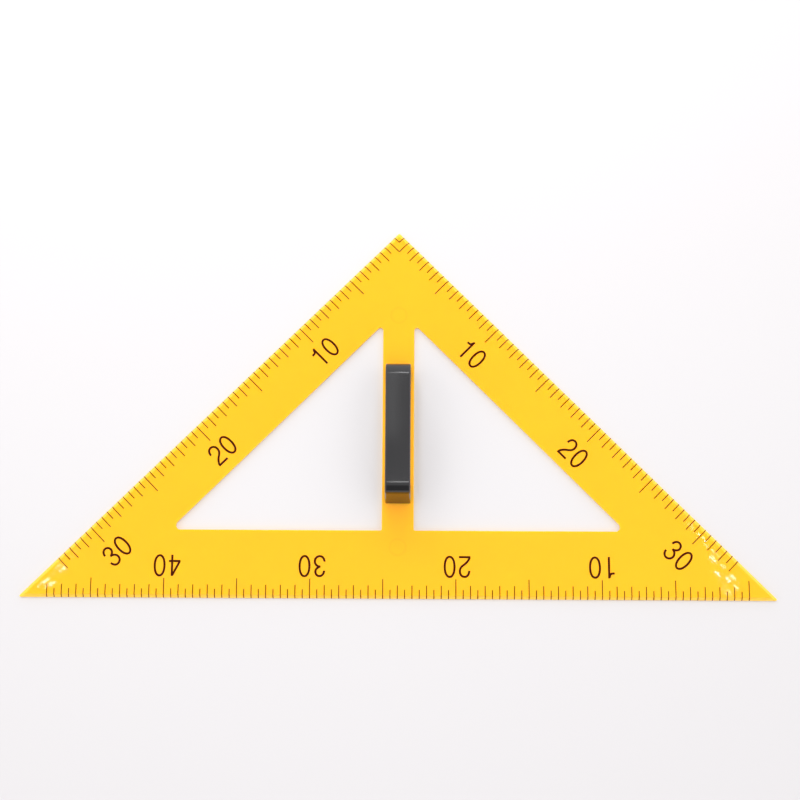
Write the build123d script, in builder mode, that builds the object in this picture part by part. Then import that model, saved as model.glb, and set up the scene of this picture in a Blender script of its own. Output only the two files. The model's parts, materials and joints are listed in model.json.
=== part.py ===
# Board set square: a 45/45/90 moulded plate with two windows, ruled on all three
# edges, and a bail handle screwed to its centre bar from behind. Millimetres.
# The plate lies on its back: +X runs along the long edge, +Y towards the right-angled
# corner, +Z out of the ruled front face. The origin is under the middle of the plate's
# outline, on the surface that it lies on.
import os
from math import cos, radians, sqrt, tan

from build123d import *

# Plate outline
long_edge = 520.0            # long edge between its two sharp corners, before rounding
plate_thickness = 3.0
tip_radius = 0.8             # rounding of the two 45 degree corners
apex_radius = 0.8            # rounding of the right-angled corner
base_bar_width = 46.5        # bar along the long edge
leg_bar_width = 39.7         # bars along the two short edges
handle_margin = 2.3          # centre bar showing on either side of the handle

# Windows
window_tip_radius = 3.0      # the two outer 45 degree corners
window_top_radius = 2.0      # the two 45 degree corners next to the right angle
window_heel_radius = 1.0     # the two right-angled corners at the centre bar's foot
window_rim_radius = 0.4      # softened front and back rims

# Ruling edges: the front face slopes down to a thin upright land
bevel_width = 2.2
land_height = 1.4
back_edge_radius = 0.3

# Injection gates: shallow wells on the back of the centre line, each with a cut stub
gate_from_long_edge = (35.0, 199.0)
gate_well_diameter = 8.0
gate_well_depth = 0.4
gate_stub_diameter = 2.4
gate_stub_height = 0.25

# Handle
handle_length = 98.0         # over both feet, at the plate
handle_start = 65.1          # from the long edge to the lower foot
handle_width = 17.5
handle_height = 30.0
handle_end_slope = 10.0      # lean of the two ends, degrees from upright
handle_side_draft = 0.4      # moulding draft of the long sides, degrees
shoulder_radius = 8.0
handle_edge_radius = 1.0     # long outer edges
grip_depth = 9.0             # grip's height, from its top to its underside
foot_length = 12.6           # foot's length at the plate
gap_draft = 2.0              # lean of the feet's inner faces, degrees
gap_corner_radius = 6.0
gap_edge_radius = 0.6        # edges round the finger gap
handle_wall = 2.2
rib_thickness = 1.4
rib_count = 5                # cross ribs inside the grip
rib_setback = 1.5            # ribs stop short of the grip's underside

# Screws, and the bosses that take them
screw_thread_diameter = 3.5
screw_thread_depth = 0.5     # on radius
screw_head_diameter = 6.8
screw_head_angle = 90.0
screw_head_rim = 0.3         # upright rim of the head
screw_length = 14.0          # head included
screw_pitch = 1.3
screw_ridge = 0.8            # width of one thread ridge at its root
screw_point_length = 2.6
screw_head_setback = 0.1     # head sits this far inside the back face
screw_clearance = 0.25       # on radius, in the plate's hole
head_clearance = 0.03        # on radius, in the countersink
recess_width = 1.0           # cross recess in the head
recess_length = 4.0
recess_depth = 1.5
recess_taper = 6.0           # lean of the recess's walls, degrees
thread_bite = 0.3            # on radius: the screw cuts its thread this deep in its bore
boss_wall = 2.05             # from the bore to the pockets beside the boss
pilot_margin = 2.0           # bore left beyond the screw's point

# Worked out from the sizes above
altitude = long_edge / 2
outline_depth = altitude - apex_radius * (sqrt(2) - 1)
base_y = -outline_depth / 2                      # the long edge
slope_inset = leg_bar_width * sqrt(2)            # leg bar measured along X or Y
window_foot_y = base_y + base_bar_width
window_heel_x = handle_width / 2 + handle_margin
window_tip_x = altitude - slope_inset - base_bar_width
window_top_y = base_y + altitude - slope_inset - window_heel_x
handle_y = base_y + handle_start + handle_length / 2
end_run = handle_height * tan(radians(handle_end_slope))
gap_height = handle_height - grip_depth
gap_half = handle_length / 2 - foot_length
gap_run = gap_height * tan(radians(gap_draft))
core_radius = screw_thread_diameter / 2 - screw_thread_depth
pilot_radius = screw_thread_diameter / 2 - thread_bite
screw_offset = (handle_length - foot_length) / 2
screw_stations = {
    "upper_handle_screw": handle_y + screw_offset,
    "lower_handle_screw": handle_y - screw_offset,
}

os.makedirs("parts", exist_ok=True)


def triangle_line(inset):
    """The plate's sharp outline, moved inwards by inset on all three edges."""
    half = altitude - inset * (1 + sqrt(2))
    foot = base_y + inset
    return Polyline((-half, foot), (half, foot), (0, foot + half), close=True)


# Plate
with BuildPart() as plate:
    with BuildSketch() as outline:
        with BuildLine():
            triangle_line(0)
        make_face()
        fillet(outline.vertices().group_by(Axis.Y)[0], radius=tip_radius)
        fillet(outline.vertices().sort_by(Axis.Y)[-1], radius=apex_radius)
    extrude(amount=plate_thickness)

    # One sloped block trims the front face to its three bevels and leaves the lands.
    bevel_spread = bevel_width * land_height / (plate_thickness - land_height)
    with BuildSketch():
        with BuildLine():
            triangle_line(-bevel_spread)
        make_face()
    with BuildSketch(Plane.XY.offset(plate_thickness)):
        with BuildLine():
            triangle_line(bevel_width)
        make_face()
    loft(mode=Mode.INTERSECT)
    fillet(plate.faces().sort_by(Axis.Z)[0].edges(), radius=back_edge_radius)

    # Windows
    with BuildSketch() as windows:
        with BuildLine():
            Polyline(
                (window_heel_x, window_foot_y),
                (window_tip_x, window_foot_y),
                (window_heel_x, window_top_y),
                close=True,
            )
        make_face()
        fillet(windows.vertices().sort_by(Axis.X)[-1], radius=window_tip_radius)
        fillet(windows.vertices().sort_by(Axis.Y)[-1], radius=window_top_radius)
        heel = windows.vertices().sort_by_distance((window_heel_x, window_foot_y))[0]
        fillet(heel, radius=window_heel_radius)
        mirror(about=Plane.YZ)
    extrude(amount=plate_thickness, mode=Mode.SUBTRACT)
    level_faces = plate.faces().filter_by(Plane.XY).sort_by(Axis.Z)
    for level_face in (level_faces[0], level_faces[-1]):
        fillet(level_face.inner_wires().edges(), radius=window_rim_radius)

    # Screw holes, countersunk from the back to seat the heads' cones
    sink_flare = (screw_head_setback + screw_head_rim) * tan(radians(screw_head_angle / 2))
    with Locations(*[Location((0, y, 0), (180, 0, 0)) for y in screw_stations.values()]):
        CounterSinkHole(
            radius=screw_thread_diameter / 2 + screw_clearance,
            counter_sink_radius=screw_head_diameter / 2 + head_clearance + sink_flare,
            depth=plate_thickness,
            counter_sink_angle=screw_head_angle,
        )

    # Gate wells
    with BuildSketch():
        with Locations(*[(0, base_y + distance) for distance in gate_from_long_edge]):
            Circle(gate_well_diameter / 2)
    extrude(amount=gate_well_depth, mode=Mode.SUBTRACT)
    with BuildSketch(Plane.XY.offset(gate_well_depth)):
        with Locations(*[(0, base_y + distance) for distance in gate_from_long_edge]):
            Circle(gate_stub_diameter / 2)
    extrude(amount=-gate_stub_height)


# Handle: a moulded bail, hollow from underneath
handle_side = Plane(origin=(0, handle_y, plate_thickness), x_dir=(0, 1, 0), z_dir=(1, 0, 0))
handle_seat = Plane(origin=(0, handle_y, plate_thickness))
with BuildPart() as handle:
    with BuildSketch(handle_side) as side_view:
        with BuildLine():
            Polyline(
                (-handle_length / 2, 0),
                (-handle_length / 2 + end_run, handle_height),
                (handle_length / 2 - end_run, handle_height),
                (handle_length / 2, 0),
                close=True,
            )
        make_face()
        fillet(side_view.vertices().group_by(Axis.Y)[-1], radius=shoulder_radius)
    extrude(amount=handle_width / 2, both=True)
    with BuildSketch(handle_seat):
        Rectangle(handle_width, handle_length + handle_height)
    extrude(amount=handle_height, taper=handle_side_draft, mode=Mode.INTERSECT)
    seat_edges = handle.faces().sort_by(Axis.Z)[0].edges()
    flanks = handle.faces().sort_by(Axis.X)
    fillet(flanks[0].edges() + flanks[-1].edges() - seat_edges, radius=handle_edge_radius)

    # Finger gap
    with BuildSketch(handle_side) as finger_gap:
        with BuildLine():
            Polyline(
                (-gap_half, 0),
                (-gap_half + gap_run, gap_height),
                (gap_half - gap_run, gap_height),
                (gap_half, 0),
                close=True,
            )
        make_face()
        fillet(finger_gap.vertices().group_by(Axis.Y)[-1], radius=gap_corner_radius)
    extrude(amount=handle_width / 2, both=True, mode=Mode.SUBTRACT)
    flanks = handle.faces().sort_by(Axis.X)
    gap_top = plate_thickness + gap_height
    gap_edges = (
        (flanks[0].edges() + flanks[-1].edges())
        .filter_by_position(Axis.Y, handle_y - gap_half, handle_y + gap_half)
        .filter_by_position(Axis.Z, plate_thickness + gap_edge_radius, gap_top + gap_edge_radius)
    )
    fillet(gap_edges, radius=gap_edge_radius)

    # Channel under the grip, with cross ribs
    channel_width = handle_width - 2 * handle_wall
    channel_length = 2 * (gap_half - gap_run - gap_corner_radius)
    channel_depth = grip_depth - handle_wall
    with BuildSketch(handle_seat.offset(gap_height)):
        Rectangle(channel_width, channel_length)
    extrude(amount=channel_depth, mode=Mode.SUBTRACT)
    rib_spacing = channel_length / (rib_count + 1)
    with BuildSketch(handle_seat.offset(gap_height + rib_setback)):
        with GridLocations(0, rib_spacing, 1, rib_count):
            Rectangle(channel_width, rib_thickness)
    extrude(amount=channel_depth - rib_setback)

    # Hollow feet: two pockets each, one on either side of the screw boss
    boss_half = pilot_radius + boss_wall
    end_wall = handle_wall / cos(radians(handle_end_slope))
    pocket_run = gap_height * tan(radians(handle_end_slope))
    with BuildSketch(handle_side.offset(boss_half)):
        with BuildLine():
            Polyline(
                (-handle_length / 2 + end_wall, 0),
                (-handle_length / 2 + end_wall + pocket_run, gap_height),
                (-gap_half - handle_wall, gap_height),
                (-gap_half - handle_wall, 0),
                close=True,
            )
        make_face()
        mirror(about=Plane.YZ)
    foot_pockets = extrude(amount=channel_width / 2 - boss_half, mode=Mode.PRIVATE)
    add(foot_pockets, mode=Mode.SUBTRACT)
    add(foot_pockets.mirror(Plane.YZ), mode=Mode.SUBTRACT)

    # Pilot bores
    pilot_depth = screw_length + screw_head_setback - plate_thickness + pilot_margin
    with BuildSketch(handle_seat):
        with Locations((0, screw_offset), (0, -screw_offset)):
            Circle(pilot_radius)
    extrude(amount=pilot_depth, mode=Mode.SUBTRACT)


# Screws: countersunk, self-tapping, head outwards on the back
def screw_half_profile():
    """Half of the screw's outline as (radius, height) points, from its head's middle."""
    head = screw_head_diameter / 2
    neck = screw_head_rim + (head - core_radius) / tan(radians(screw_head_angle / 2))
    points = [(0, 0), (head, 0), (head, screw_head_rim), (core_radius, neck)]
    thread_length = screw_length - screw_point_length - neck
    ridge_total = int(thread_length // screw_pitch)
    for ridge in range(ridge_total):
        foot = neck + ridge * screw_pitch + (screw_pitch - screw_ridge) / 2
        points.append((core_radius, foot))
        points.append((screw_thread_diameter / 2, foot + screw_ridge / 2))
        points.append((core_radius, foot + screw_ridge))
    points.append((core_radius, screw_length - screw_point_length))
    points.append((0, screw_length))
    return points


screws = {}
for name, station in screw_stations.items():
    screw_axis = Axis((0, station, 0), (0, 0, 1))
    screw_plane = Plane(origin=(0, station, screw_head_setback), x_dir=(1, 0, 0), z_dir=(0, -1, 0))
    with BuildPart() as screw:
        with BuildSketch(screw_plane):
            with BuildLine():
                Polyline(*screw_half_profile(), close=True)
            make_face()
        revolve(axis=screw_axis)
        with BuildSketch(Plane(origin=(0, station, screw_head_setback))):
            Rectangle(recess_length, recess_width)
            Rectangle(recess_width, recess_length)
        extrude(amount=recess_depth, taper=recess_taper, mode=Mode.SUBTRACT)
    screws[name] = screw


# Labels and files
plate.part.label = "plate"
export_step(plate.part, "parts/plate.step")
handle.part.label = "handle"
export_step(handle.part, "parts/handle.step")
for name, screw in screws.items():
    screw.part.label = name
    export_step(screw.part, f"parts/{name}.step")
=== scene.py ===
import json
from math import cos, pi, radians, sin, sqrt

import bmesh
import bpy
from mathutils import Matrix, Vector

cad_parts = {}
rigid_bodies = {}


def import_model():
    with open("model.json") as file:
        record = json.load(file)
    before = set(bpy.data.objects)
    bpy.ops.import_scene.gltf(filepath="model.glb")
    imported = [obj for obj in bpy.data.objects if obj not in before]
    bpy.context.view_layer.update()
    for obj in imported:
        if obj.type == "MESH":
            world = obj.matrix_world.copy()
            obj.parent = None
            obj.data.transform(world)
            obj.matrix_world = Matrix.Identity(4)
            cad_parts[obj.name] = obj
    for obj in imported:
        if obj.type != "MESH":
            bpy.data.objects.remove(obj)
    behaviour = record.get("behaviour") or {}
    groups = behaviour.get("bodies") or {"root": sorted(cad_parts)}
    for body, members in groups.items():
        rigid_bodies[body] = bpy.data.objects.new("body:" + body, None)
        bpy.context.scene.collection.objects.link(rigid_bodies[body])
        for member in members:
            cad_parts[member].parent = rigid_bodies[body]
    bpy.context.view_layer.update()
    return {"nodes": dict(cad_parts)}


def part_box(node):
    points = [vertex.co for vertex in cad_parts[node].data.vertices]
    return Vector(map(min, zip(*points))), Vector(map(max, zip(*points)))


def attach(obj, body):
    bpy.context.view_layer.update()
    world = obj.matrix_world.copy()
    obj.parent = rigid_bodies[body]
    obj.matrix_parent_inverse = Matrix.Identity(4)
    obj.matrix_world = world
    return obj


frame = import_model()
scene = bpy.context.scene
plateLow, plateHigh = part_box("plate")
handleLow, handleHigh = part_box("handle")
print("frame loaded:", ", ".join(sorted(frame["nodes"])))


# helpers

def mm(value):
    return value / 1000


def hexColour(code):
    # sRGB hex to the linear RGBA that the shaders work in
    parts = [int(code[i:i + 2], 16) / 255 for i in (1, 3, 5)]
    linear = [p / 12.92 if p <= 0.04045 else ((p + 0.055) / 1.055) ** 2.4 for p in parts]
    return (*linear, 1.0)


def addNode(tree, kind, settings={}, inputs={}):
    # a value in inputs sets its socket, a socket is linked to it
    node = tree.nodes.new(kind)
    for name, value in settings.items():
        setattr(node, name, value)
    for name, value in inputs.items():
        if isinstance(value, bpy.types.NodeSocket):
            tree.links.new(value, node.inputs[name])
        else:
            node.inputs[name].default_value = value
    return node


def mathsIn(tree):
    # short form of the Math node for one tree
    def maths(operation, *values, clamp=False):
        settings = {"operation": operation, "use_clamp": clamp}
        return addNode(tree, "ShaderNodeMath", settings, dict(enumerate(values))).outputs[0]

    return maths


def newMaterial(name):
    material = bpy.data.materials.new(name)
    material.use_nodes = True
    material.node_tree.nodes.clear()
    return material, material.node_tree


def objectCoords(tree):
    return addNode(tree, "ShaderNodeTexCoord").outputs["Object"]


def noise(tree, coords, size, detail):
    # size is about how far apart the patches lie
    inputs = {"Vector": coords, "Scale": 1 / size, "Detail": detail}
    return addNode(tree, "ShaderNodeTexNoise", {}, inputs).outputs[0]


def mixColour(tree, factor, first, second):
    inputs = {"Factor": factor, "A": first, "B": second}
    return addNode(tree, "ShaderNodeMix", {"data_type": "RGBA"}, inputs).outputs["Result"]


def spread(tree, value, limits):
    # a pattern between 0 and 1, spread between two limits
    low, high = limits
    inputs = {"Value": value, "To Min": low, "To Max": high}
    return addNode(tree, "ShaderNodeMapRange", {}, inputs).outputs[0]


def bumpNormal(tree, height, strength, depth):
    inputs = {"Strength": strength, "Distance": depth, "Height": height}
    return addNode(tree, "ShaderNodeBump", {}, inputs).outputs[0]


def finishMaterial(tree, inputs):
    shader = addNode(tree, "ShaderNodeBsdfPrincipled", {}, inputs)
    addNode(tree, "ShaderNodeOutputMaterial", {}, {"Surface": shader.outputs["BSDF"]})


# camera: above the plate, standing back a little towards the long edge

cameraSettings = {
    "place": Vector((0.0079, -0.1499, 0.8723)),
    "aim": Vector((0.0011, 0.0080, 0.0030)),
    "up": Vector((-0.0056, 1.0, 0.0)),
    "lens": 56.65,
    "sensor": 36,
    "nearest": 0.01,
}


def facing(back, upwards):
    # a turn with its Z along back, and its Y as near to upwards as it can be
    right = upwards.cross(back).normalized()
    return Matrix((right, back.cross(right), back)).transposed().to_4x4()


def makeCamera(s):
    data = bpy.data.cameras.new("camera")
    data.lens = s["lens"]
    data.sensor_width = s["sensor"]
    data.clip_start = s["nearest"]
    camera = bpy.data.objects.new("camera", data)
    scene.collection.objects.link(camera)
    back = (s["place"] - s["aim"]).normalized()
    camera.matrix_world = Matrix.Translation(s["place"]) @ facing(back, s["up"])
    scene.camera = camera


makeCamera(cameraSettings)
print("camera placed")


# printed scales: ink a few hundredths of a millimetre thick on the front face

scaleSettings = {
    "longEdge": mm(520),     # between the sharp corners
    "cornerToZero": mm(20),  # long edge: zero mark from the right-hand corner
    "longEdgeMarks": 97,     # 0 to 48 cm
    "legMarks": 66,          # 0.5 to 33 cm, counted from the right angle
    "meetingMarks": 3,       # the legs' marks below this number meet on the centre line
    "spacing": mm(5),
    "markLengths": {         # short, medium and long marks
        "long": (mm(6.1), mm(9.0), mm(13.3)),
        "left": (mm(6.8), mm(9.8), mm(14.4)),
        "right": (mm(6.8), mm(9.6), mm(13.8)),
    },
    "lineWidth": mm(0.60),
    "strokeWidth": mm(1.45),
    "inkHeight": mm(0.04),
    "inkSink": mm(0.02),     # how far the ink's underside is let into the face
    "bevelWidth": mm(2.2),
    "landHeight": mm(1.4),   # from the back to the foot of the bevel
    "longEdgeNumerals": ["10", "20", "30", "40"],
    "legNumerals": ["10", "20", "30"],
    "firstNumeral": 20,      # number of the mark that the first numeral belongs to
    "numeralPitch": mm(99.5),
    "numeralInset": {"long": mm(21.8), "left": mm(25.1), "right": mm(26.3)},
    "numeralShift": {"long": mm(-0.4), "left": mm(-1.0), "right": mm(-0.5)},
    "digitAdvance": mm(10.3),
    "digitHeight": mm(14.6),
    "curveSteps": 14,
    "inkTones": ("#431000", "#501902"),
    "inkPatches": mm(2.38),  # the film is uneven
    "inkRoughness": 0.6,
    "inkShine": 0.08,
    "inkIor": 1.45,
}

# Centre lines of a light, narrow grotesque, in millimetres from the middle of the digit's
# foot. Each knot is x, y and the half-handle that the line leaves it with.
digitStrokes = {
    "0": [[(0, 14.15, 1.9, 0), (3.35, 7.3, 0, -4.3), (0, 0.45, -1.9, 0), (-3.35, 7.3, 0, 4.3)]],
    "1": [
        [(0.7, 0, 0, 4), (0.7, 14.6, 0, 4)],
        [(-3.05, 11.25, 0.9, 0), (-1.0, 11.4, 0.9, 0.2), (0.35, 13.9, 0.1, 0.8)],
    ],
    "2": [
        [(-3.15, 9.9, 0.1, 2.4), (0.05, 14.05, 1.9, 0), (3.3, 10.3, 0, -2.3), (0.1, 5.6, -1.7, -1.2),
         (-3.3, 1.2, -0.2, -1.1)],
        [(-4.0, 0.65, 2, 0), (3.9, 0.65, 2, 0)],
    ],
    "3": [
        [(-3.2, 10.3, 0.1, 2.2), (-0.1, 14.05, 1.7, 0), (2.8, 10.9, 0, -1.8), (-0.7, 7.65, -1.2, 0)],
        [(-0.7, 7.65, 2.3, 0), (3.25, 4.0, 0, -2.0), (-0.15, 0.5, -1.9, 0), (-3.4, 4.2, -0.1, 2.0)],
    ],
    "4": [
        [(1.75, 0, 0, 4), (1.75, 14.5, 0, 4)],
        [(-3.9, 4.3, 2, 0), (4.0, 4.3, 2, 0)],
        [(-3.55, 4.3, 1.4, 2.6), (1.55, 14.1, 1.4, 2.6)],
    ],
}
closedDigits = {"0"}


def makeNumeral(text, home, s):
    # one curve object for each numeral, its middle on the origin
    curve = bpy.data.curves.new("numeral" + text, "CURVE")
    curve.dimensions = "3D"
    curve.resolution_u = s["curveSteps"]
    for place, digit in enumerate(text):
        offset = (place - (len(text) - 1) / 2) * s["digitAdvance"]
        for stroke in digitStrokes[digit]:
            spline = curve.splines.new("BEZIER")
            spline.bezier_points.add(len(stroke) - 1)
            spline.use_cyclic_u = digit in closedDigits
            for knot, (x, y, handleX, handleY) in zip(spline.bezier_points, stroke):
                knot.handle_left_type = knot.handle_right_type = "FREE"
                middle = Vector((mm(x) + offset, mm(y) - s["digitHeight"] / 2, 0))
                reach = Vector((mm(handleX), mm(handleY), 0))
                knot.co = middle
                knot.handle_left = middle - reach
                knot.handle_right = middle + reach
    home.objects.link(bpy.data.objects.new("numeral" + text, curve))


def scaleTree():
    # marks along X from the zero corner, growing inwards along Y, then turned and put in place
    tree = bpy.data.node_groups.new("printedScale", "GeometryNodeTree")
    sockets = [
        ("Marks", "NodeSocketInt"), ("Spacing", "NodeSocketFloat"),
        ("First Mark", "NodeSocketInt"), ("Mark Step", "NodeSocketInt"),
        ("Corner Limit", "NodeSocketInt"), ("Short Line", "NodeSocketFloat"),
        ("Medium Line", "NodeSocketFloat"), ("Long Line", "NodeSocketFloat"),
        ("Line Width", "NodeSocketFloat"), ("Stroke Width", "NodeSocketFloat"),
        ("Ink Height", "NodeSocketFloat"), ("Ink Sink", "NodeSocketFloat"),
        ("Bevel Width", "NodeSocketFloat"), ("Bevel Drop", "NodeSocketFloat"),
        ("Numerals", "NodeSocketCollection"), ("Numeral Count", "NodeSocketInt"),
        ("Numeral Start", "NodeSocketVector"), ("Numeral Pitch", "NodeSocketVector"),
        ("Place", "NodeSocketVector"), ("Turn", "NodeSocketVector"),
        ("Ink", "NodeSocketMaterial"),
    ]
    for name, kind in sockets:
        tree.interface.new_socket(name, in_out="INPUT", socket_type=kind)
    tree.interface.new_socket("Geometry", in_out="OUTPUT", socket_type="NodeSocketGeometry")
    given = addNode(tree, "NodeGroupInput").outputs
    maths = mathsIn(tree)

    def choose(test, no, yes):
        inputs = {"Switch": test, "False": no, "True": yes}
        return addNode(tree, "GeometryNodeSwitch", {"input_type": "FLOAT"}, inputs).outputs[0]

    def everyNth(number, count):
        # both are whole numbers, so the remainder is either 0 or at least 1
        return maths("COMPARE", maths("MODULO", number, float(count)), 0.0, 0.1)

    # which mark each point is, counted from the scale's zero: every tenth one is long, and every
    # second one is medium
    index = addNode(tree, "GeometryNodeInputIndex").outputs[0]
    markNumber = maths("ADD", maths("MULTIPLY", index, given["Mark Step"]), given["First Mark"])
    shortOrMedium = choose(everyNth(markNumber, 2), given["Short Line"], given["Medium Line"])
    plainLength = choose(everyNth(markNumber, 10), shortOrMedium, given["Long Line"])
    # next to the right angle the two legs' marks meet on the centre line
    meetLength = maths("MULTIPLY", markNumber, given["Spacing"])
    length = choose(maths("LESS_THAN", markNumber, given["Corner Limit"]), plainLength, meetLength)

    offset = addNode(tree, "ShaderNodeCombineXYZ", {}, {"X": given["Spacing"]})
    line = addNode(tree, "GeometryNodeMeshLine", {"mode": "OFFSET"},
                   {"Count": given["Marks"], "Offset": offset.outputs[0]})
    stored = addNode(tree, "GeometryNodeStoreNamedAttribute", {"data_type": "FLOAT", "domain": "POINT"},
                     {"Geometry": line.outputs[0], "Name": "markLength", "Value": length})
    # one mark: a block with three rows of corners, at the edge, at the bevel's top and at its end
    barSize = addNode(tree, "ShaderNodeCombineXYZ", {},
                      {"X": given["Line Width"], "Y": 2.0, "Z": given["Ink Height"]})
    bar = addNode(tree, "GeometryNodeMeshCube", {}, {"Size": barSize.outputs[0], "Vertices Y": 3})
    marks = addNode(tree, "GeometryNodeInstanceOnPoints", {},
                    {"Points": stored.outputs[0], "Instance": bar.outputs["Mesh"]})
    loose = addNode(tree, "GeometryNodeRealizeInstances", {}, {"Geometry": marks.outputs[0]})
    place = addNode(tree, "GeometryNodeInputPosition").outputs[0]
    split = addNode(tree, "ShaderNodeSeparateXYZ", {}, {0: place}).outputs
    reach = addNode(tree, "GeometryNodeInputNamedAttribute", {"data_type": "FLOAT"},
                    {"Name": "markLength"})
    atEdge = maths("LESS_THAN", split["Y"], -0.5)
    atEnd = maths("GREATER_THAN", split["Y"], 0.5)
    rowY = choose(atEdge, choose(atEnd, given["Bevel Width"], reach.outputs[0]), 0.0)
    lift = maths("SUBTRACT", maths("MULTIPLY", given["Ink Height"], 0.5), given["Ink Sink"])
    drop = choose(atEdge, 0.0, given["Bevel Drop"])
    rowZ = maths("SUBTRACT", maths("ADD", split["Z"], lift), drop)
    bent = addNode(tree, "ShaderNodeCombineXYZ", {}, {"X": split["X"], "Y": rowY, "Z": rowZ})
    ticks = addNode(tree, "GeometryNodeSetPosition", {},
                    {"Geometry": loose.outputs[0], "Position": bent.outputs[0]})

    # numerals, their tops towards the edge
    numeralLine = addNode(tree, "GeometryNodeMeshLine", {"mode": "OFFSET"},
                          {"Count": given["Numeral Count"], "Start Location": given["Numeral Start"],
                           "Offset": given["Numeral Pitch"]})
    glyphs = addNode(tree, "GeometryNodeCollectionInfo", {"transform_space": "ORIGINAL"},
                     {"Collection": given["Numerals"], "Separate Children": True,
                      "Reset Children": True})
    numerals = addNode(tree, "GeometryNodeInstanceOnPoints", {},
                       {"Points": numeralLine.outputs[0], "Instance": glyphs.outputs[0],
                        "Pick Instance": True, "Rotation": (0, 0, pi)})
    strokes = addNode(tree, "GeometryNodeRealizeInstances", {}, {"Geometry": numerals.outputs[0]})
    level = addNode(tree, "GeometryNodeSetCurveNormal", {"mode": "Z_UP"}, {"Curve": strokes.outputs[0]})
    nib = addNode(tree, "GeometryNodeCurvePrimitiveQuadrilateral", {},
                  {"Width": given["Stroke Width"], "Height": given["Ink Height"]})
    swept = addNode(tree, "GeometryNodeCurveToMesh", {},
                    {"Curve": level.outputs[0], "Profile Curve": nib.outputs[0], "Fill Caps": True})
    joined = addNode(tree, "GeometryNodeMeshBoolean", {"operation": "UNION", "solver": "EXACT"},
                     {"Mesh": swept.outputs[0], "Self Intersection": True})
    numeralLift = addNode(tree, "ShaderNodeCombineXYZ", {}, {"Z": lift})
    raised = addNode(tree, "GeometryNodeTransform", {},
                     {"Geometry": joined.outputs[0], "Translation": numeralLift.outputs[0]})

    both = addNode(tree, "GeometryNodeJoinGeometry")
    for part in (raised, ticks):
        tree.links.new(part.outputs[0], both.inputs[0])
    placed = addNode(tree, "GeometryNodeTransform", {},
                     {"Geometry": both.outputs[0], "Translation": given["Place"],
                      "Rotation": given["Turn"]})
    whole = addNode(tree, "GeometryNodeRealizeInstances", {}, {"Geometry": placed.outputs[0]})
    inked = addNode(tree, "GeometryNodeSetMaterial", {},
                    {"Geometry": whole.outputs[0], "Material": given["Ink"]})
    addNode(tree, "NodeGroupOutput", {}, {"Geometry": inked.outputs[0]})
    return tree


def printScale(name, tree, values):
    # the tree runs on an empty carrier, and its result becomes a plain mesh
    carrier = bpy.data.objects.new(name + "Carrier", bpy.data.meshes.new(name + "Carrier"))
    scene.collection.objects.link(carrier)
    modifier = carrier.modifiers.new("printedScale", "NODES")
    modifier.node_group = tree
    for item in tree.interface.items_tree:
        if item.in_out == "INPUT":
            modifier[item.identifier] = values[item.name]
    graph = bpy.context.evaluated_depsgraph_get()
    mesh = bpy.data.meshes.new_from_object(carrier.evaluated_get(graph))
    carrier.modifiers.remove(modifier)
    bpy.data.objects.remove(carrier)
    piece = bpy.data.objects.new(name, mesh)
    scene.collection.objects.link(piece)
    return piece


def inkMaterial(s):
    # Screen-printed enamel ink, dried matt: a dark red-brown, with hardly any shine of its own
    material, tree = newMaterial("screenPrintInk")
    film = noise(tree, objectCoords(tree), s["inkPatches"], detail=3.0)
    dark, light = [hexColour(tone) for tone in s["inkTones"]]
    finishMaterial(tree, {
        "Base Color": mixColour(tree, film, dark, light), "Roughness": s["inkRoughness"],
        "IOR": s["inkIor"], "Specular IOR Level": s["inkShine"],
    })
    return material


def numeralHomes(s):
    # a collection for the long edge's numerals and one for the legs', by how many they hold
    homes = {}
    for numerals in (s["longEdgeNumerals"], s["legNumerals"]):
        home = bpy.data.collections.new("numerals%d" % len(numerals))
        scene.collection.children.link(home)
        for text in numerals:
            makeNumeral(text, home, s)
        homes[len(numerals)] = home
    return homes


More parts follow.
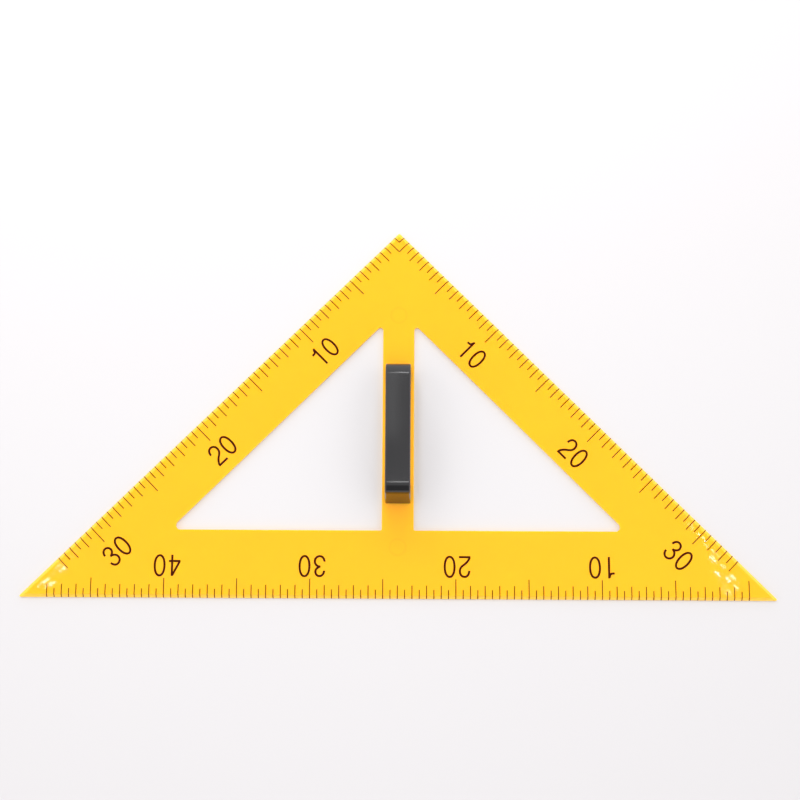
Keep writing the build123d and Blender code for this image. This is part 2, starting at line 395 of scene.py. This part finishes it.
def makeScales(s):
    ink = inkMaterial(s)
    homes = numeralHomes(s)
    tree = scaleTree()
    faceZ = plateHigh.z
    bevelDrop = faceZ - plateLow.z - s["landHeight"]
    half = s["longEdge"] / 2
    apex = Vector((0, plateLow.y + half, faceZ))
    lastMark = s["longEdgeMarks"] - 1
    lastMarkX = half - s["cornerToZero"] - lastMark * s["spacing"]
    downLeft = Vector((-1, -1, 0)) / sqrt(2)
    downRight = Vector((1, -1, 0)) / sqrt(2)
    # name, key, marks, first mark's number, step from mark to mark, marks that meet on the
    # centre line, start, turn, numerals
    edges = [
        ("long_edge_scale", "long", s["longEdgeMarks"], lastMark, -1, 0,
         Vector((lastMarkX, plateLow.y, faceZ)), 0, s["longEdgeNumerals"]),
        ("left_leg_scale", "left", s["legMarks"], 1, 1, s["meetingMarks"],
         apex + downLeft * s["spacing"], radians(225), s["legNumerals"]),
        ("right_leg_scale", "right", s["legMarks"], s["legMarks"], -1, s["meetingMarks"],
         apex + downRight * s["legMarks"] * s["spacing"], radians(135), s["legNumerals"]),
    ]
    for name, key, count, first, step, meeting, start, turn, numerals in edges:
        numeralStart = ((s["firstNumeral"] - first) * s["spacing"] + s["numeralShift"][key]) * step
        shortLine, mediumLine, longLine = s["markLengths"][key]
        piece = printScale(name, tree, {
            "Marks": count, "Spacing": s["spacing"], "First Mark": first, "Mark Step": step,
            "Corner Limit": meeting, "Short Line": shortLine, "Medium Line": mediumLine,
            "Long Line": longLine, "Line Width": s["lineWidth"], "Stroke Width": s["strokeWidth"],
            "Ink Height": s["inkHeight"], "Ink Sink": s["inkSink"], "Bevel Width": s["bevelWidth"],
            "Bevel Drop": bevelDrop, "Numerals": homes[len(numerals)], "Numeral Count": len(numerals),
            "Numeral Start": (numeralStart, s["numeralInset"][key], 0.0),
            "Numeral Pitch": (step * s["numeralPitch"], 0.0, 0.0),
            "Place": start, "Turn": (0.0, 0.0, turn), "Ink": ink,
        })
        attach(piece, "root")
        print(name, "printed:", len(piece.data.polygons), "faces")
    for home in homes.values():
        for numeral in list(home.objects):
            bpy.data.objects.remove(numeral)
        bpy.data.collections.remove(home)


makeScales(scaleSettings)


# plate

plateSettings = {
    "tones": ("#FFBD02", "#FFC303"),
    "streaks": mm(60),            # pigment streaks
    "gates": [mm(35), mm(199)],   # filling points on the centre line, from the long edge
    "gateRing": mm(5.5),          # radius of the faint ring over each filling point
    "ringBlur": mm(1.2),
    "ringTone": "#FCB102",
    "ringShare": 0.35,
    "faceDepth": mm(0.3),         # the rings lie on the front face alone
    # the rim tone is a painted glow, for light coming through the thin edges
    "paintedGlowTone": "#FFCB38",
    "paintedGlowBand": (mm(0.9), mm(0.05)),   # the painted glow comes in between these depths below the face
    "waves": mm(14),              # polishing waves
    "waveDepth": mm(0.008),
    "waveStrength": 0.25,
    "ringHeight": 0.5,            # the rings' height beside the waves'
    "scuffs": mm(6),
    "roughness": (0.04, 0.07),
    "ior": 1.5,
    "glow": 0.5,                  # share of the light that is scattered inside
    "glowReach": mm(5),
    "glowColours": (1.0, 0.7, 0.2),
}


def plateMaterial(s):
    # Injection-moulded ABS, coloured all through and moulded on a polished tool: an even deep
    # yellow, high gloss, very slight waviness, and a faint ring over each gate. The bevels and walls
    # get a paler tone, a painted glow for light that comes through the thin plastic.
    material, tree = newMaterial("polishedMouldedAbsYellow")
    coords = objectCoords(tree)
    height = addNode(tree, "ShaderNodeSeparateXYZ", {}, {0: coords}).outputs["Z"]
    maths = mathsIn(tree)
    deep, pale = [hexColour(tone) for tone in s["tones"]]
    colour = mixColour(tree, noise(tree, coords, s["streaks"], detail=2.0), deep, pale)
    # gate blush: a ring where the melt came in behind the face
    rings = 0.0
    for fromEdge in s["gates"]:
        gate = (0.0, plateLow.y + fromEdge, plateHigh.z)
        away = addNode(tree, "ShaderNodeVectorMath", {"operation": "DISTANCE"}, {0: coords, 1: gate})
        off = maths("ABSOLUTE", maths("SUBTRACT", away.outputs["Value"], s["gateRing"]))
        ring = maths("SUBTRACT", 1.0, maths("DIVIDE", off, s["ringBlur"]), clamp=True)
        rings = maths("ADD", rings, ring)
    onFront = maths("GREATER_THAN", height, plateHigh.z - s["faceDepth"])
    rings = maths("MULTIPLY", rings, onFront)
    blush = mixColour(tree, maths("MULTIPLY", rings, s["ringShare"]), colour, hexColour(s["ringTone"]))
    # painted glow: the thin bevels and the walls get a paler tone than the face, standing in for light
    # that comes through the thin plastic near the edges
    paintedGlowDeep, paintedGlowShallow = s["paintedGlowBand"]
    paintedGlowMask = addNode(tree, "ShaderNodeMapRange", {},
                  {"Value": height, "From Min": plateHigh.z - paintedGlowDeep,
                   "From Max": plateHigh.z - paintedGlowShallow, "To Min": 1.0, "To Max": 0.0})
    body = mixColour(tree, paintedGlowMask.outputs[0], blush, hexColour(s["paintedGlowTone"]))
    waves = noise(tree, coords, s["waves"], detail=1.0)
    relief = maths("ADD", waves, maths("MULTIPLY", rings, s["ringHeight"]))
    # handling scuffs only cloud the gloss a little
    scuffs = noise(tree, coords, s["scuffs"], detail=5.0)
    finishMaterial(tree, {
        "Base Color": body, "Roughness": spread(tree, scuffs, s["roughness"]),
        "Normal": bumpNormal(tree, relief, s["waveStrength"], s["waveDepth"]), "IOR": s["ior"],
        "Subsurface Weight": s["glow"], "Subsurface Radius": s["glowColours"],
        "Subsurface Scale": s["glowReach"],
    })
    return material


# handle

handleSettings = {
    "tones": ("#121114", "#19181B"),
    "grain": mm(0.8),        # fine tool texture, drawn about four times coarser than the real one
    "grainDepth": mm(0.003),
    "grainStrength": 0.3,
    "patches": mm(20),       # hands polish it unevenly
    "roughness": (0.10, 0.16),
    "ior": 1.65,             # above plain ABS, for a stronger shine
}


def handleMaterial(s):
    # Injection-moulded black ABS from a fine-stoned tool: dark charcoal with a clear shine, which
    # turns mirror-like at a glancing angle.
    material, tree = newMaterial("glossyMouldedAbsBlack")
    coords = objectCoords(tree)
    grain = noise(tree, coords, s["grain"], detail=2.0)
    patches = noise(tree, coords, s["patches"], detail=3.0)
    dark, light = [hexColour(tone) for tone in s["tones"]]
    finishMaterial(tree, {
        "Base Color": mixColour(tree, patches, dark, light),
        "Roughness": spread(tree, patches, s["roughness"]),
        "Normal": bumpNormal(tree, grain, s["grainStrength"], s["grainDepth"]), "IOR": s["ior"],
    })
    return material


# screws

screwSettings = {
    "tones": ("#C9CDD2", "#A9AFB8"),
    "crystal": mm(0.5),      # zinc crystals, drawn coarser than the real ones so that they show
    "roughness": (0.22, 0.38),
}


def screwMaterial(s):
    # Bright zinc-plated steel: a cool grey metal, semi-bright, mottled by the plating's crystals
    material, tree = newMaterial("brightZincPlatedSteel")
    inputs = {"Vector": objectCoords(tree), "Scale": 1 / s["crystal"]}
    crystals = addNode(tree, "ShaderNodeTexVoronoi", {}, inputs).outputs["Distance"]
    light, dark = [hexColour(tone) for tone in s["tones"]]
    finishMaterial(tree, {
        "Base Color": mixColour(tree, crystals, light, dark), "Metallic": 1.0,
        "Roughness": spread(tree, crystals, s["roughness"]),
    })
    return material


def dress(node, material):
    for slot in frame["nodes"][node].material_slots:
        slot.material = material


dress("plate", plateMaterial(plateSettings))
dress("handle", handleMaterial(handleSettings))
steel = screwMaterial(screwSettings)
for node in frame["nodes"]:
    if node.endswith("screw"):
        dress(node, steel)
print("plate, handle and screws finished")


# floor and light

studioSettings = {
    "floorSize": 6.0,
    "floorDrop": mm(0.15),     # just under the plate, so that the two faces don't fight
    "floorColour": "#C6C4C5",
    "floorRoughness": 0.7,
    "floorShine": 0.2,
    "fibres": mm(4),
    "fibreDepth": mm(0.05),
    "fibreStrength": 0.05,
    "tentColour": "#FFFEFF",
    "wallStrength": 1.33,
    "topStrength": 0.81,       # darker cloth round the camera
    "topFade": (0.80, 0.90),   # from wall to top, as the height of the direction
    "frontStrength": 0.26,     # a dark opening in the front of the tent
    "frontSides": (0.25, 0.45),
    "frontFade": (-0.62, -0.42),
    # size across and along in metres, power in watts. "lights" limits a panel to those objects,
    # and with "blockers" nothing else casts a shadow from it.
    "panels": {
        "leftPanel": {"place": Vector((-0.70, 0.30, 0.66)), "size": (0.30, 0.6), "power": 0.45},
        "rightPanel": {"place": Vector((0.62, 0.30, 0.80)), "size": (0.30, 0.6), "power": 0.30},
        "backPanel": {"place": Vector((-0.14, 1.15, 0.74)), "size": (1.0, 0.45), "power": 6.5,
                      "lights": ["plate"]},
        # the plate casts no shadow on the floor from this one
        "floorBackPanel": {"place": Vector((-0.14, 1.15, 0.74)), "size": (1.0, 0.45), "power": 9.6,
                           "lights": ["floor"], "blockers": ["handle"]},
        "floorTopPanel": {"place": Vector((-0.10, 0.16, 1.50)), "size": (0.6, 0.6), "power": 8.4,
                          "lights": ["floor"]},
        "edgePanel": {"place": Vector((0, -0.90, 0.30)), "size": (1.2, 0.25), "power": 1.1,
                      "lights": ["plate"]},
        # a red fill on the plate alone, so that its shaded places stay orange
        "warmPanel": {"place": Vector((0, 0.10, 1.40)), "size": (0.6, 0.6), "power": 7.0,
                      "lights": ["plate"], "colour": "#FF2000", "mirrored": False},
    },
}


def makeFloor(s):
    material, tree = newMaterial("mattPaper")
    fibres = noise(tree, objectCoords(tree), s["fibres"], detail=3.0)
    finishMaterial(tree, {
        "Base Color": hexColour(s["floorColour"]), "Roughness": s["floorRoughness"],
        "Normal": bumpNormal(tree, fibres, s["fibreStrength"], s["fibreDepth"]),
        "Specular IOR Level": s["floorShine"],
    })
    mesh = bpy.data.meshes.new("floor")
    sheet = bmesh.new()
    bmesh.ops.create_grid(sheet, x_segments=2, y_segments=2, size=s["floorSize"] / 2,
                          matrix=Matrix.Translation((0, 0, plateLow.z - s["floorDrop"])))
    sheet.to_mesh(mesh)
    sheet.free()
    mesh.materials.append(material)
    floor = bpy.data.objects.new("floor", mesh)
    scene.collection.objects.link(floor)


def makeTent(s):
    world = bpy.data.worlds.new("softTent")
    scene.world = world
    world.use_nodes = True
    tree = world.node_tree
    tree.nodes.clear()
    maths = mathsIn(tree)
    direction = addNode(tree, "ShaderNodeTexCoord").outputs["Generated"]
    split = addNode(tree, "ShaderNodeSeparateXYZ", {}, {0: direction}).outputs

    def fade(value, limits):
        low, high = limits
        node = addNode(tree, "ShaderNodeMapRange", {"interpolation_type": "SMOOTHSTEP"},
                       {"Value": value, "From Min": low, "From Max": high})
        return node.outputs[0]

    upwards = fade(split["Z"], s["topFade"])
    tent = spread(tree, upwards, (s["wallStrength"], s["topStrength"]))
    beside = fade(maths("ABSOLUTE", split["X"]), s["frontSides"])
    walls = maths("MAXIMUM", beside, fade(split["Y"], s["frontFade"]))
    contrast = maths("SUBTRACT", tent, s["frontStrength"])
    strength = maths("MULTIPLY_ADD", contrast, walls, s["frontStrength"])
    sky = addNode(tree, "ShaderNodeBackground", {},
                  {"Color": hexColour(s["tentColour"]), "Strength": strength})
    addNode(tree, "ShaderNodeOutputWorld", {}, {"Surface": sky.outputs[0]})


def groupOf(names):
    # a collection outside the scene, for linking a lamp to the named objects
    group = bpy.data.collections.new("linked")
    for name in names:
        group.objects.link(frame["nodes"].get(name) or bpy.data.objects[name])
    return group


def makePanel(name, aim, place, size, power, lengthwise=Vector((0, 1, 0)), lights=None, blockers=None,
              colour="#FFFFFF", mirrored=True):
    light = bpy.data.lights.new(name, "AREA")
    light.shape = "RECTANGLE"
    light.size, light.size_y = size
    light.energy = power
    light.color = hexColour(colour)[:3]
    panel = bpy.data.objects.new(name, light)
    back = (place - aim).normalized()
    panel.matrix_world = Matrix.Translation(place) @ facing(back, lengthwise)
    panel.visible_camera = False
    panel.visible_glossy = mirrored
    if lights:
        panel.light_linking.receiver_collection = groupOf(lights)
    if blockers:
        panel.light_linking.blocker_collection = groupOf(blockers)
    scene.collection.objects.link(panel)


makeFloor(studioSettings)
makeTent(studioSettings)
for name, panel in studioSettings["panels"].items():
    makePanel(name, Vector((0, 0, 0)), **panel)
scene.view_settings.view_transform = "Standard"
print("floor and light set")


# Sparks: the tent's small lamps, seen mirrored in the glossy plastic. Each is put where the
# camera sees it in the given spot, so the spots are what is chosen.

sparkSettings = {
    "plateReach": 0.12,        # how far the lamps hang from the plate
    "plateLamp": (mm(5.0), mm(1.1)),
    "plateGlow": 30.0,         # radiance of a lamp at full brightness
    # x from the middle, y from the long edge, in mm, and brightness
    "plateSpots": [
        (-230, 19, 1.0), (-233, 21, 0.3), (-241, 11, 1.0), (-236, 9, 0.6), (-239, 8, 0.5),
        (-245, 8, 0.3), (-237, 15, 0.1), (-224, 27, 0.08), (-221, 31, 0.06),
        (200, 52, 0.12), (203, 49, 0.25), (208, 44, 0.5), (211, 41, 0.6), (212, 37, 0.2),
        (216, 34, 0.3), (219, 31, 0.2), (216, 28, 0.9), (223, 23, 0.4), (219, 18, 0.9),
        (229, 16, 0.7), (226, 14, 1.0), (231, 9, 0.6), (226, 6, 0.3), (223, 6, 0.25),
        (223, 11, 0.12), (228, 3, 0.1),
    ],
    "handleReach": 0.30,
    # the handle's end that the spot is measured from, x and distance from that end in mm, lean of
    # the surface in degrees, lamp's size and radiance
    "handleSpots": {
        "upperLine": ("upper", 3.8, 12.6, 4, (mm(11), mm(50)), 7.5),
        "lowerLine": ("lower", 3.8, 12.2, -3.5, (mm(12), mm(36)), 7.0),
        "lowerFaintLine": ("lower", -4.2, 12.2, -3.5, (mm(9), mm(60)), 2.5),
        "upperSheen": ("upper", -4.6, 14.6, 0, (mm(9), mm(110)), 1.0),
    },
}


def makeSpark(name, node, spot, normal, reach, size, lengthwise, radiance):
    sight = (spot - scene.camera.matrix_world.translation).normalized()
    lamp = spot + sight.reflect(normal) * reach
    across, along = size
    power = radiance * pi * across * along
    makePanel(name, spot, lamp, size, power, lengthwise, [node])


def makeSparks(s):
    for number, (x, y, share) in enumerate(s["plateSpots"]):
        spot = Vector((mm(x), plateLow.y + mm(y), plateHigh.z))
        # square to the nearer leg, so that a lamp's longer side lies along it
        acrossLeg = Vector((1, 1 if x > 0 else -1, 0))
        makeSpark("spark%d" % number, "plate", spot, Vector((0, 0, 1)), s["plateReach"], s["plateLamp"],
                  acrossLeg, s["plateGlow"] * share)
    for name, (end, x, fromEnd, lean, size, radiance) in s["handleSpots"].items():
        y = handleHigh.y - mm(fromEnd) if end == "upper" else handleLow.y + mm(fromEnd)
        spot = Vector((mm(x), y, handleHigh.z))
        normal = Vector((0, sin(radians(lean)), cos(radians(lean))))
        makeSpark(name, "handle", spot, normal, s["handleReach"], size, Vector((0, 1, 0)), radiance)


makeSparks(sparkSettings)
print("sparks set")
